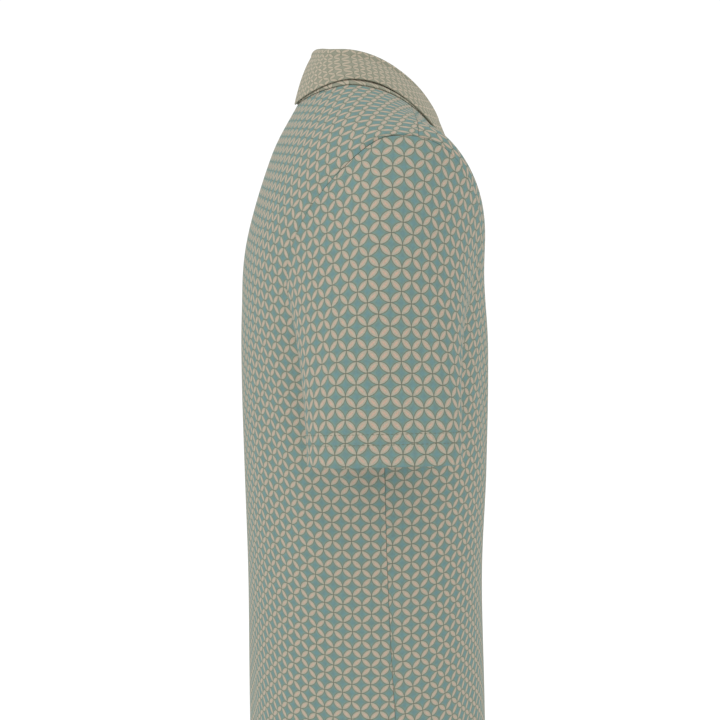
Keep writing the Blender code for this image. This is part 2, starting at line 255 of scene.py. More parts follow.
def off_form(level, reach, lift=0.0):
    """One point this far outside the form, and the way the form faces there."""
    place = np.array([reach])
    facing = normal_of_form(level, place)[0]
    return on_form(level, place)[0] + facing * lift, facing


def whole_reach(level):
    """From centre front to centre back."""
    return half_loop(level)[1][-1]


def armhole_angle(level):
    """0 at the underarm and below, pi at the shoulder point and above."""
    share = (level - UNDERARM_LEVEL) / (SHOULDER_LEVEL - UNDERARM_LEVEL)
    return math.acos(1 - 2 * min(max(share, 0), 1))


def armhole_level(angle):
    """The level at an angle round the armhole."""
    return UNDERARM_LEVEL + (SHOULDER_LEVEL - UNDERARM_LEVEL) * (1 - math.cos(angle)) / 2


def seam_reach(level, side):
    """How far round the edge of the front (side -1) or the back (side 1) is, from hem to neck."""
    points, length = half_loop(level)
    middle = np.interp(between(LOOPS, "level", level).seam_y, points[:, 1], length)
    width, lift = (ARMHOLE_FRONT, FRONT_LIFT) if side < 0 else (ARMHOLE_BACK, BACK_LIFT)
    angle = armhole_angle(level)
    return middle + side * width * (math.sin(angle) - lift * math.sin(2 * angle))


# A crease is a soft trough (depth below 0) or ridge from a point along a run, both in metres.
Crease = namedtuple("Crease", "x y z run_x run_y run_z width depth")
CREASES = (
    # right sleeve
    Crease(-0.262, -0.012, -0.085, -0.030, -0.006, -0.185, 0.012, -0.0016),
    Crease(-0.262, 0.030, -0.110, -0.026, 0.008, -0.120, 0.015, 0.0014),
    Crease(-0.235, 0.062, -0.120, -0.020, -0.010, -0.110, 0.010, -0.0014),
    Crease(-0.205, -0.055, -0.170, -0.060, 0.030, -0.050, 0.009, -0.0012),
    # left sleeve
    Crease(0.264, 0.004, -0.090, 0.028, -0.010, -0.160, 0.013, -0.0018),
    Crease(0.258, -0.030, -0.120, 0.024, -0.006, -0.130, 0.012, 0.0012),
    Crease(0.225, 0.060, -0.150, 0.040, -0.020, -0.080, 0.010, -0.0015),
    # from the right underarm, down the back and the front
    Crease(-0.160, 0.070, -0.235, -0.016, -0.050, -0.150, 0.014, -0.0020),
    Crease(-0.120, 0.100, -0.190, -0.030, -0.020, -0.200, 0.018, -0.0018),
    Crease(-0.160, -0.060, -0.230, -0.012, 0.040, -0.130, 0.013, -0.0018),
    Crease(-0.135, -0.085, -0.205, 0.050, -0.020, -0.140, 0.014, -0.0018),
    # from the left underarm
    Crease(0.158, 0.072, -0.225, 0.018, -0.045, -0.170, 0.015, -0.0022),
    Crease(0.125, 0.098, -0.200, 0.020, -0.020, -0.230, 0.019, -0.0018),
    Crease(0.155, -0.062, -0.240, 0.016, 0.038, -0.150, 0.012, -0.0019),
    Crease(0.140, -0.084, -0.210, -0.060, -0.018, -0.120, 0.015, -0.0016),
    # long soft folds over the waist to the hem
    Crease(-0.150, 0.085, -0.430, -0.008, 0.004, -0.260, 0.017, 0.0022),
    Crease(-0.070, 0.112, -0.480, 0.010, 0.002, -0.240, 0.020, -0.0018),
    Crease(0.060, 0.113, -0.440, -0.012, 0.002, -0.270, 0.022, 0.0018),
    Crease(0.145, 0.088, -0.470, 0.010, 0.000, -0.240, 0.016, -0.0022),
    Crease(-0.140, -0.082, -0.450, -0.012, -0.004, -0.250, 0.018, -0.0022),
    Crease(-0.060, -0.106, -0.400, 0.014, -0.010, -0.300, 0.022, 0.0018),
    Crease(0.070, -0.104, -0.430, -0.004, -0.012, -0.270, 0.019, -0.0020),
    Crease(0.148, -0.078, -0.460, 0.010, -0.004, -0.240, 0.016, 0.0022),
    # across the shoulder blades and the chest
    Crease(-0.150, 0.060, -0.090, 0.110, 0.040, -0.040, 0.016, -0.0010),
    Crease(0.150, 0.062, -0.100, -0.090, 0.036, -0.030, 0.015, -0.0010),
    Crease(-0.150, -0.068, -0.120, 0.080, -0.020, -0.060, 0.014, -0.0012),
    Crease(0.150, -0.066, -0.115, -0.085, -0.022, -0.070, 0.014, -0.0012),
)


def creased(points):
    """How far the cloth stands off its form at each point."""
    total = np.zeros(points.shape[:-1])
    for crease in CREASES:
        start, run = np.array(crease[:3]), np.array(crease[3:6])
        share = np.clip((points - start) @ run / (run @ run), 0, 1)
        off = np.linalg.norm(points - start - share[..., None] * run, axis=-1)
        total += crease.depth * np.sin(math.pi * share) * np.exp(-((off / crease.width) ** 2))
    return total


# How a seam edge turns in: places across it, and how deep they lie.
SEAM_ROUND = 0.0006
SEAM_ALLOWANCE = 0.0040


def turned_in():
    """(distance from the seam, depth) from the cut edge inside the shirt to the cloth's outer face."""
    flange = [(0.0, SEAM_ROUND + SEAM_ALLOWANCE * share) for share in (1, 0.5)]
    turns = [math.pi / 2 * k / 4 for k in range(5)]
    return flange + [(SEAM_ROUND * (1 - math.cos(a)), SEAM_ROUND * (1 - math.sin(a))) for a in turns]


# How a hem turns up: heights above its edge, and how deep they lie.
HEM_ROUND = 0.0009


def turned_up(depth):
    """(height, depth) from the cut edge inside the shirt, round the fold, to the outer face."""
    inside = [(HEM_ROUND + (depth - HEM_ROUND) * share, 2 * HEM_ROUND) for share in (1, 0.7, 0.35)]
    turns = [math.pi * k / 6 for k in range(7)]
    return inside + [(HEM_ROUND * (1 - math.sin(a)), HEM_ROUND * (1 + math.cos(a))) for a in turns]


BODY_HEM = 0.0250
HEM_FOLD_ROW = len(turned_up(BODY_HEM)) - 1  # the row where the outer face begins
BODY_ROWS = 104
ARMHOLE_ROWS = 84
SHOULDER_ROWS = 34


def panel_rows():
    """(level, depth) of each row of a panel, from the cut edge of its hem to the neck."""
    hem = [(HEM_LEVEL + height, depth) for height, depth in turned_up(BODY_HEM)]
    start = HEM_LEVEL + HEM_ROUND
    body = [start + (UNDERARM_LEVEL - start) * k / BODY_ROWS for k in range(1, BODY_ROWS)]
    arm = [armhole_level(math.pi * k / ARMHOLE_ROWS) for k in range(ARMHOLE_ROWS)]
    shoulder = NECK_LEVEL - SHOULDER_LEVEL
    top = [SHOULDER_LEVEL + shoulder * k / SHOULDER_ROWS for k in range(SHOULDER_ROWS + 1)]
    return hem + [(level, 0.0) for level in body + arm + top]


ARMHOLE_START = len(turned_up(BODY_HEM)) + BODY_ROWS - 1  # the row at the underarm
ARMHOLE_ENDS = (ARMHOLE_START, ARMHOLE_START + ARMHOLE_ROWS)


def mirrored(points):
    """The same points on the wearer's other side."""
    return points * np.array((-1, 1, 1))


def cloth_object(name, points, left_out=None):
    """A piece of cloth from a grid of points. Seen from outside, rows run to the right and pile upwards."""
    rows, columns = points.shape[0] - 1, points.shape[1] - 1
    bm = bmesh.new()
    bm.loops.layers.uv.new("cloth")
    bmesh.ops.create_grid(bm, x_segments=columns, y_segments=rows, size=0.5, calc_uvs=True)
    if left_out:
        cut = [face for face in bm.faces if left_out(*(face.calc_center_median().xy + Vector((0.5, 0.5))))]
        bmesh.ops.delete(bm, geom=cut, context="FACES")
    item = mesh_object(name, bm)
    mesh = item.data
    flat = np.zeros(len(mesh.vertices) * 3)
    mesh.vertices.foreach_get("co", flat)
    flat = flat.reshape(-1, 3) + 0.5
    i, j = (np.rint(flat[:, k] * count).astype(int) for k, count in ((0, columns), (1, rows)))
    mesh.vertices.foreach_set("co", points[j, i].ravel())
    mesh.update()
    return item, (i, j)


def cloth_piece(name, points, places, left_out=None):
    """A piece of cloth, with each point's place on the flat cloth, in metres, as the UV map of its print."""
    item, (i, j) = cloth_object(name, points, left_out)
    mesh = item.data
    corners = np.zeros(len(mesh.loops), int)
    mesh.loops.foreach_get("vertex_index", corners)
    mesh.uv_layers["cloth"].data.foreach_set("uv", places[j, i][corners].ravel())
    return item


FOLDED = 10  # lines at each end of a grid that follow its folded edges
BEND_REACH = 16  # lines on each side of a bend that are kept
THINNING = 4  # of the rest, one line in so many is kept


def thinned(count, bends=()):
    """Some lines of a grid: all at its folded ends and near its bends, and a few of those between."""
    ends = {*range(FOLDED), *range(count - FOLDED, count)}
    near = {k for bend in bends for k in range(bend - BEND_REACH, bend + BEND_REACH + 1)}
    return sorted(ends | near | {*range(FOLDED, count - FOLDED, THINNING)})


def triangle_areas(mesh, places):
    """The areas of a mesh's triangles, with its vertices at places."""
    mesh.calc_loop_triangles()
    corners = np.zeros(len(mesh.loop_triangles) * 3, int)
    mesh.loop_triangles.foreach_get("vertices", corners)
    first, second, third = (places[corners[k::3]] for k in range(3))
    crossed = np.cross(second - first, third - first)
    return (abs(crossed) if crossed.ndim == 1 else np.linalg.norm(crossed, axis=1)) / 2


def run_lengths(points):
    """How far along its middle column and row each row and column of a grid lies."""
    rows, columns = points.shape[0] // 2, points.shape[1] // 2
    return measured(points[:, columns]), measured(points[rows])


def lay_flat(points, lean=0.0, bends=()):
    """Flattens a grid of points to its cut shape, with the grain upright down its middle column.

    Returns each point's place on the cloth, and the cut's width, length and area. lean is how far the print
    is turned on the cloth, in radians, and bends are the rows where the columns turn."""
    rows, columns = thinned(points.shape[0], bends), thinned(points.shape[1])
    pattern, (i, j) = cloth_object("pattern", points[np.ix_(rows, columns)])
    mesh = pattern.data
    bpy.context.view_layer.objects.active = pattern
    pattern.select_set(True)
    bpy.ops.object.mode_set(mode="EDIT")
    bpy.ops.mesh.select_all(action="SELECT")
    bpy.ops.uv.unwrap(method="MINIMUM_STRETCH", margin=0, iterations=20)
    bpy.ops.object.mode_set(mode="OBJECT")
    corners, laid = np.zeros(len(mesh.loops), int), np.zeros(len(mesh.loops) * 2)
    mesh.loops.foreach_get("vertex_index", corners)
    mesh.uv_layers["cloth"].data.foreach_get("uv", laid)
    place = np.zeros((len(mesh.vertices), 2))
    place[corners] = laid.reshape(-1, 2)
    solid = np.zeros(len(mesh.vertices) * 3)
    mesh.vertices.foreach_get("co", solid)
    area = triangle_areas(mesh, solid.reshape(-1, 3)).sum()
    place *= math.sqrt(area / triangle_areas(mesh, place).sum())
    bpy.data.objects.remove(pattern)
    grid = np.zeros((len(rows), len(columns), 2))
    grid[j, i] = place
    foot, head = grid[HEM_FOLD_ROW, len(columns) // 2], grid[-1, len(columns) // 2]
    up = (head - foot) / np.linalg.norm(head - foot)
    right = np.array((up[1], -up[0]))
    grid = np.stack(((grid - foot) @ right, (grid - foot) @ up), axis=-1)
    width, length = np.ptp(grid.reshape(-1, 2), axis=0)
    wide = np.zeros((len(rows), points.shape[1], 2))
    for row, laid_row in enumerate(grid):
        run = measured(points[rows[row]])
        wide[row] = read_off(run, run[columns], laid_row)
    full = np.zeros((*points.shape[:2], 2))
    for column in range(points.shape[1]):
        run = measured(points[:, column])
        full[:, column] = read_off(run, run[rows], wide[:, column])
    turned = np.array(((math.cos(lean), math.sin(lean)), (-math.sin(lean), math.cos(lean))))
    return full @ turned, (float(width), float(length)), float(area)


def thicken(item, thickness):
    """Gives the cloth its thickness, on the inside."""
    wall = item.modifiers.new("cloth", "SOLIDIFY")
    wall.thickness = thickness
    wall.offset = -1


class Value:
    """A number that changes over a surface. Arithmetic on it adds the nodes that work it out."""

    def __init__(self, finish, socket):
        self.finish = finish
        self.socket = socket

    def math(self, operation, *others):
        inputs = dict(enumerate((self, *others)))
        return self.finish.node("ShaderNodeMath", {"operation": operation}, inputs)

    def __add__(self, other):
        return self.math("ADD", other)

    __radd__ = __add__

    def __sub__(self, other):
        return self.math("SUBTRACT", other)

    def __rsub__(self, other):
        return self * -1 + other

    def __mul__(self, other):
        return self.math("MULTIPLY", other)

    __rmul__ = __mul__

    def __truediv__(self, other):
        return self.math("DIVIDE", other)

    def steps(self, low, high):
        """0 below low, 1 above high, and smooth between them."""
        settings = {"interpolation_type": "SMOOTHSTEP"}
        return self.finish.node("ShaderNodeMapRange", settings, {0: self, 1: low, 2: high})


class Finish:
    """A material under construction."""

    def __init__(self, name, roughness):
        self.material = bpy.data.materials.new(name)
        self.material.use_nodes = True
        self.tree = self.material.node_tree
        self.shader = self.tree.nodes["Principled BSDF"]
        self.shader.inputs["Roughness"].default_value = roughness

    def node(self, kind, settings, inputs, output=0):
        """Adds a node: its settings first, then the values or links of its sockets."""
        made = self.tree.nodes.new(kind)
        for key, value in settings.items():
            setattr(made, key, value)
        for key, value in inputs.items():
            self.feed(made.inputs[key], value)
        return Value(self, made.outputs[output])

    def feed(self, socket, value):
        """Links a value to a socket, or sets it."""
        if isinstance(value, Value):
            self.tree.links.new(value.socket, socket)
        else:
            socket.default_value = value

    def mix(self, share, first, second):
        """One colour turning into another as share goes from 0 to 1."""
        return self.node("ShaderNodeMix", {"data_type": "RGBA"}, {0: share, 6: first, 7: second}, output=2)

    def cloth_place(self):
        """Where a point is on the flat cloth, across and up, in metres."""
        place = self.node("ShaderNodeUVMap", {"uv_map": "cloth"}, {})
        return [self.node("ShaderNodeSeparateXYZ", {}, {0: place}, output=k) for k in range(2)]

    def noise(self, size, detail=2):
        """A soft random number about 0.5, in patches of a size."""
        place = self.node("ShaderNodeTexCoord", {}, {}, output="Object")
        inputs = {"Vector": place, "Scale": 1 / size, "Detail": detail}
        return self.node("ShaderNodeTexNoise", {}, inputs, output="Fac")


CIRCLE = 0.00775  # radius of the overlapping circles of the print
PETAL_REACH = 0.685  # of the petals, where 0.707 is the circle itself
LINE_REACH = 0.712  # of the line round them
# Where one colour of the print turns into the next, in the same measure.
MIDDLE_TURN = (0.50, 0.63)
PETAL_TURN = (PETAL_REACH - 0.022, PETAL_REACH + 0.010)
LINE_TURN = (LINE_REACH - 0.006, LINE_REACH + 0.022)
GROUND_TURN = (0.74, 0.90)
WAVER = 0.0004  # how far the print's edges wander
MOTTLE_SHARE = 0.25
FIBRE_SHARE = 0.22
WALE = 0.00080  # one column of knitted loops
COURSE = 0.00062  # one row of them
KNIT_RELIEF = 0.0002


def circle_distance(across, up, radius):
    """In a cell of the repeat, the distance to the nearest neighbouring circle's middle, in cell widths.

    The circles' middles lie on a square lattice that stands on its corner, so the cell is turned."""
    first = ((across + up) / (2 * radius)).math("FRACT") - 0.5
    second = ((across - up) / (2 * radius)).math("FRACT") - 0.5

    def distance(a, b):
        near = 1 - a.math("ABSOLUTE")
        return (near * near + b * b).math("SQRT")

    return distance(first, second).math("MINIMUM", distance(second, first))


def knit_height(across, up):
    """The relief of jersey: columns of small V shaped loops."""
    slant = ((across / WALE).math("FRACT") - 0.5).math("ABSOLUTE")
    loops = ((up / COURSE + slant * 0.8) * (2 * math.pi)).math("SINE")
    return loops * 0.35 + 1 - slant * 1.6


def printed_jersey(name, radius, ground, ground_edge, petal, petal_middle, line):
    """Jersey printed with overlapping circles: petals with a warmer middle on a ground, and thin lines."""
    finish = Finish(name, 0.82)
    across, up = finish.cloth_place()
    wobble = (finish.noise(0.0012) - 0.5) * WAVER
    distance = circle_distance(across + wobble, up - wobble, radius)
    mottle = finish.noise(0.0030, detail=4)
    in_petal = 1 - distance.steps(*PETAL_TURN)
    in_middle = 1 - distance.steps(*MIDDLE_TURN)
    in_line = 1 - distance.steps(*LINE_TURN)
    ground_now = finish.mix(distance.steps(*GROUND_TURN), (*ground_edge, 1), (*ground, 1))
    ground_now = finish.mix(mottle.steps(0.30, 0.70) * MOTTLE_SHARE, ground_now, (*line, 1))
    petal_now = finish.mix(in_middle, (*petal, 1), (*petal_middle, 1))
    colour = finish.mix(in_line, ground_now, (*line, 1))
    colour = finish.mix(in_petal, colour, petal_now)
    fibres = finish.noise(0.0008, detail=1).steps(0.35, 0.75)
    colour = finish.mix(fibres * FIBRE_SHARE, colour, (*line, 1))
    finish.feed(finish.shader.inputs["Base Color"], colour)
    inputs = {"Strength": 0.25, "Distance": KNIT_RELIEF, "Height": knit_height(across, up)}
    finish.feed(finish.shader.inputs["Normal"], finish.node("ShaderNodeBump", {}, inputs))
    finish.shader.inputs["Sheen Weight"].default_value = 0.02
    finish.shader.inputs["Sheen Roughness"].default_value = 0.5
    finish.shader.inputs["Specular IOR Level"].default_value = 0.1
    return finish.material


GROUND = (0.150, 0.272, 0.280)
GROUND_EDGE = (0.190, 0.290, 0.248)
PETAL = (0.395, 0.385, 0.305)
PETAL_MIDDLE = (0.550, 0.378, 0.292)
LINE = (0.140, 0.150, 0.112)
jersey = printed_jersey("printed_jersey", CIRCLE, GROUND, GROUND_EDGE, PETAL, PETAL_MIDDLE, LINE)


def dress(item, node, finish):
    """Puts the finish on a piece, lets it stand for its solid and ride with the shirt."""
    item.data.materials.append(finish)
    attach(item, "root")
    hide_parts(node)


def panel_grid(side, half_columns):
    """Points of the front (side -1) or the back (side 1), creased, and the way the form faces there.

    half_columns gives how far round the columns are, from the panel's middle to where its edge turns in."""
    turn = turned_in()
    turned = np.array([deep for _, deep in reversed(turn[:-1])])
    points, normals = [], []
    for level, hem_depth in panel_rows():
        edge = seam_reach(level, side) + side * SEWN_GAP / 2
        inner = half_columns(level, edge + side * turn[-1][0])
        reach = np.concatenate((inner, [edge + side * along for along, _ in reversed(turn[:-1])]))
        depth = np.concatenate((np.zeros(len(inner)), turned)) + hem_depth
        left, out = on_form(level, reach), normal_of_form(level, reach)
        left[0, 0], out[0, 0] = 0, 0
        base = np.concatenate((mirrored(left[:0:-1]), left))
        out = np.concatenate((mirrored(out[:0:-1]), out))
        depth = np.concatenate((depth[:0:-1], depth))
        points.append(base + out * (creased(base) - depth)[:, None])
        normals.append(out)
    return np.array(points)[:, ::-side], np.array(normals)[:, ::-side]


BACK_COLUMNS = 70  # on each side


def back_columns(level, last):
    """How far round the columns of the back's left half are."""
    return np.linspace(last, whole_reach(level), BACK_COLUMNS + 1)[::-1]


back_points, back_normals = panel_grid(1, back_columns)
back_places, back_cut, back_area = lay_flat(back_points, bends=ARMHOLE_ENDS)
back = cloth_piece("back_panel", back_points, back_places)
thicken(back, JERSEY_THICK)
dress(back, "back", jersey)


# ---- Front -------------------------------------------------------------------------------------------
# One piece of the same jersey from side seam to side seam, with a slit down the chest for the placket.
# It is sewn to the back at the sides and along the shoulders.

SLIT_HALF = 0.0140
PLACKET_LEVEL = -0.196
FRONT_COLUMNS = 66  # on each side of the slit
SLIT_COLUMNS = 6  # across the slit


def front_columns(level, last):
    """How far round the columns of the front's left half are."""
    slit = np.linspace(0, SLIT_HALF, SLIT_COLUMNS // 2 + 1)[:-1]
    return np.concatenate((slit, np.linspace(SLIT_HALF, last, FRONT_COLUMNS + 1)))


front_points, front_normals = panel_grid(-1, front_columns)
slit_row = next(k for k, (level, _) in enumerate(panel_rows()) if level >= PLACKET_LEVEL)


def in_slit(across, up):
    """Whether a face of the grid, by its shares across and up, lies in the slit."""
    rows, columns = front_points.shape[0] - 1, front_points.shape[1] - 1
    return up * rows > slit_row and abs(across - 0.5) * columns < SLIT_COLUMNS / 2


front_places, front_cut, front_area = lay_flat(front_points, bends=ARMHOLE_ENDS)
front = cloth_piece("front_panel", front_points, front_places, in_slit)
thicken(front, JERSEY_THICK)
dress(front, "front", jersey)


# ---- Placket -----------------------------------------------------------------------------------------
# Two folded strips of the jersey with an interlining, one over and one under the slit in the front, with
# folded edges. The buttons come up through the upper one, and both are stitched down along their edges.

PLACKET_HALF = 0.0165
PLACKET_OVERLAP = 0.0080
PLACKET_SHORT = 0.0015
SOLID_CLOTH = 0.0012  # wall of the solids, which spaces the strips
UPPER_OUT = SEAM_GAP + SOLID_CLOTH  # of the upper strip's face outside the form
FOLD_ROUND = 0.0005
PLACKET_ROWS = 70


def placket_grid(out_by):
    """Points of a strip whose outer face is this far outside the front, with its long edges folded."""
    low, high = PLACKET_LEVEL - PLACKET_OVERLAP, NECK_LEVEL - PLACKET_SHORT
    turns = [math.pi * k / 6 for k in range(7)]
    folded = [(FOLD_ROUND * (1 - math.sin(a)), FOLD_ROUND * (1 + math.cos(a))) for a in turns]
    side = [(PLACKET_HALF - along, deep) for along, deep in folded]
    flat = [(s, 0.0) for s in np.linspace(PLACKET_HALF - FOLD_ROUND, 0, 8)[1:]]
    half = side + flat
    reach = np.array([-s for s, _ in half] + [s for s, _ in reversed(half[:-1])])
    depth = np.array([deep for _, deep in half] + [deep for _, deep in reversed(half[:-1])])
    ends = [(0.0, 2 * FOLD_ROUND), (0.0, FOLD_ROUND)]
    rows = ends + [((high - low) * k / PLACKET_ROWS, 0.0) for k in range(PLACKET_ROWS + 1)]
    points = []
    for height, deep in rows:
        base, out = on_form(low + height, reach), normal_of_form(low + height, reach)
        points.append(base + out * (out_by - np.maximum(depth, deep))[:, None])
    return np.array(points)


for strip_name, strip_out in (("placket_upper", UPPER_OUT), ("placket_under", -UPPER_OUT)):
    strip_points = placket_grid(strip_out)
    up_rows, over_columns = run_lengths(strip_points)
    strip_places = np.stack(np.meshgrid(over_columns, up_rows), axis=-1)
    strip = cloth_piece(strip_name + "_strip", strip_points, strip_places)
    thicken(strip, JERSEY_THICK / 2)
    dress(strip, strip_name, jersey)


# ---- Sleeves -----------------------------------------------------------------------------------------
# Each is one piece of the jersey, set into the armhole with its cap at the shoulder point and closed by a
# seam under the arm. Its hem is turned up like the shirt's.

HEM_CENTRE = np.array((0.2435, 0.0085, -0.2775))
HEM_HALF_DEPTH = 0.0548
HEM_HALF_WIDTH = 0.0520
HEM_FRONT_POWER = 3.2
HEM_BACK_POWER = 2.5
SLEEVE_LEAN = math.radians(15.6)
CAP_DROP = math.radians(50)
UNDERARM_DROP = math.radians(72)
FRONT_DROP_POWER = 1.6
BACK_DROP_POWER = 0.6
START_PULL = 0.75
HEM_PULL = 1.05
NARROWING = 2.0
SLEEVE_HEM = 0.0230
SLEEVE_COLUMNS = 176  # round the tube
SLEEVE_ROWS = 84
LINE_POINTS = 201
SLEEVE_PRINT_TURN = math.radians(-4.7)
SEAM_BLEND = 0.0140  # over this length the sleeve turns from the trunk's direction to its own


def sleeve_line(angle):
    """One lengthwise line of the left sleeve, from the armhole to the hem, and the trunk's normal there."""
    along = np.array((math.sin(SLEEVE_LEAN), 0, -math.cos(SLEEVE_LEAN)))
    outward = np.array((math.cos(SLEEVE_LEAN), 0, math.sin(SLEEVE_LEAN)))
    level = armhole_level(angle)
    seam, normal = off_form(level, seam_reach(level, -1 if angle <= math.pi else 1))
    c, s = math.cos(angle), math.sin(angle)
    power = HEM_FRONT_POWER if s > 0 else HEM_BACK_POWER
    drop_power = FRONT_DROP_POWER if s > 0 else BACK_DROP_POWER
    drop = CAP_DROP + (UNDERARM_DROP - CAP_DROP) * ((1 + c) / 2) ** drop_power
    leave = np.array((math.cos(drop), 0, -math.sin(drop)))
    start = seam + (leave + normal) * SEAM_GAP
    swell = (abs(c) ** power + abs(s) ** power) ** (-1 / power)
    end = HEM_CENTRE - outward * HEM_HALF_WIDTH * swell * c
    end[1] -= HEM_HALF_DEPTH * swell * s
    span = np.linalg.norm(end - start)
    first = leave * START_PULL * span
    first[1] = NARROWING * (end[1] - start[1])
    t = np.linspace(0, 1, LINE_POINTS)[:, None]
    return hermite(start, first, end, along * HEM_PULL * span, t), normal


def sleeve_grid():
    """Points of the left sleeve from hem to cap, and the way each faces, before its creases."""
    turn, hem = turned_in(), turned_up(SLEEVE_HEM)
    per_turn = HEM_HALF_DEPTH  # length of a unit of angle at the underarm seam
    turning = [(along + SEWN_GAP / 2) / per_turn for along, _ in turn[:-1]]
    first = (turn[-1][0] + SEWN_GAP / 2) / per_turn
    round_it = np.linspace(first, 2 * math.pi - first, SLEEVE_COLUMNS + 1)
    angles = np.concatenate((turning, round_it, [2 * math.pi - a for a in reversed(turning)]))
    turned = [deep for _, deep in turn[:-1]]
    column_depth = np.zeros(len(angles))
    column_depth[: len(turned)], column_depth[-len(turned) :] = turned, turned[::-1]
    lines, seam_normals = zip(*(sleeve_line(a) for a in angles))
    # the directions come from lines that aren't doubled back at the hem and the seam
    smooth = np.stack(lines, axis=1)
    across = np.gradient(smooth, axis=1)
    across[:, :6], across[:, -6:] = across[:, 6:7], across[:, -7:-6]
    facing = unit(np.cross(np.gradient(smooth, axis=0), across))
    base, out = [], []
    for column, line in enumerate(lines):
        length = measured(line)
        heights = [length[-1] - height for height, _ in hem]
        body = np.linspace(heights[-1], turn[-1][0], SLEEVE_ROWS + 1)[1:]
        at = np.concatenate((heights, body, [along for along, _ in reversed(turn[:-1])]))
        base.append(read_off(at, length, line))
        own = read_off(at, length, facing[:, column])
        share = np.clip(at / SEAM_BLEND, 0, 1)[:, None]
        share = share * share * (3 - 2 * share)
        out.append(unit(seam_normals[column] * (1 - share) + own * share))
    row_depth = np.zeros(len(at))
    row_depth[: len(hem)], row_depth[-len(turned) :] = [deep for _, deep in hem], turned[::-1]
    return np.stack(base, axis=1), np.stack(out, axis=1), row_depth[:, None] + column_depth


sleeve_base, sleeve_out, sleeve_depth = sleeve_grid()
sleeves = {}
for sleeve_name in ("sleeve_left", "sleeve_right"):
    base, out, depth = sleeve_base, sleeve_out, sleeve_depth
    if sleeve_name == "sleeve_right":
        base, out, depth = (grid[:, ::-1] for grid in (mirrored(base), mirrored(out), depth))
    points = base + out * (creased(base) - depth)[..., None]
    places, cut, area = lay_flat(points, SLEEVE_PRINT_TURN)
    sleeve = cloth_piece(sleeve_name + "_piece", points, places)
    thicken(sleeve, JERSEY_THICK)
    dress(sleeve, sleeve_name, jersey)
    sleeves[sleeve_name] = (points, out)


# ---- Collar ------------------------------------------------------------------------------------------
# Stand and leaf in one, two layers of a finer printed jersey with an interlining, sewn into the neck and
# folded over. It stands a little off the shoulders.

COLLAR_CLOTH = 0.0016  # wall of the solid
COLLAR_THICK = 0.0009  # of each layer
Station = namedtuple("Station", "place stand lean roll bulge cover around off")
COLLAR = (
    Station(0.00, 0.0260, 0.0085, 0.0035, 0.0000, 0.076, 0.170, 0.0024),
    Station(0.12, 0.0250, 0.0085, 0.0036, 0.0000, 0.062, 0.240, 0.0022),
    Station(0.25, 0.0240, 0.0085, 0.0038, 0.0012, 0.048, 0.330, 0.0023),
    Station(0.40, 0.0215, 0.0085, 0.0048, 0.0045, 0.036, 0.430, 0.0030),
    Station(0.55, 0.0215, 0.0085, 0.0052, 0.0050, 0.026, 0.540, 0.0048),
    Station(0.70, 0.0245, 0.0085, 0.0060, 0.0050, 0.021, 0.660, 0.0042),
    Station(0.85, 0.0290, 0.0125, 0.0065, 0.0040, 0.0215, 0.830, 0.0032),
    Station(1.00, 0.0320, 0.0145, 0.0070, 0.0036, 0.0245, 1.000, 0.0030),
)
COLLAR_COLUMNS = 84  # on each side
COLLAR_END = 0.0040
COLLAR_LIFT = 0.00045
COLLAR_ALLOWANCE = 0.0060
ALLOWANCE_DEPTH = 0.0022  # of its cut edge inside the shirt
ALLOWANCE_SAG = 0.0004
LEAF_BEND = 0.35
LEAF_ROWS = 26
ROLL_ROWS = 12
STAND_ROWS = 10
EDGE_ROUND = 0.0008
TUCK = 0.0024  # how far the cloth runs up inside the leaf from its edge
UNDER_TURN = 0.0008  # where it turns down again
UNDER_LIFT = 0.0005  # of the under layer's foot above the shirt
UNDER_ROWS = 10

# How far outside the leaf's edge the under layer's foot lies, from centre front (0) to centre back (1).
Roll = namedtuple("Roll", "place beyond")
ROLLS = (
    Roll(0.00, -0.0030),
    Roll(0.32, -0.0010),
    Roll(0.44, 0.0050),
    Roll(0.55, 0.0078),
    Roll(0.66, 0.0060),
    Roll(0.78, 0.0016),
    Roll(1.00, -0.0006),
)


def half_turn(middle, first, second, radius, steps):
    """Points round half a circle, from the first direction by the second to the first's opposite."""
    turns = [math.pi * k / steps for k in range(1, steps + 1)]
    return [middle + first * radius * math.cos(a) + second * radius * math.sin(a) for a in turns]


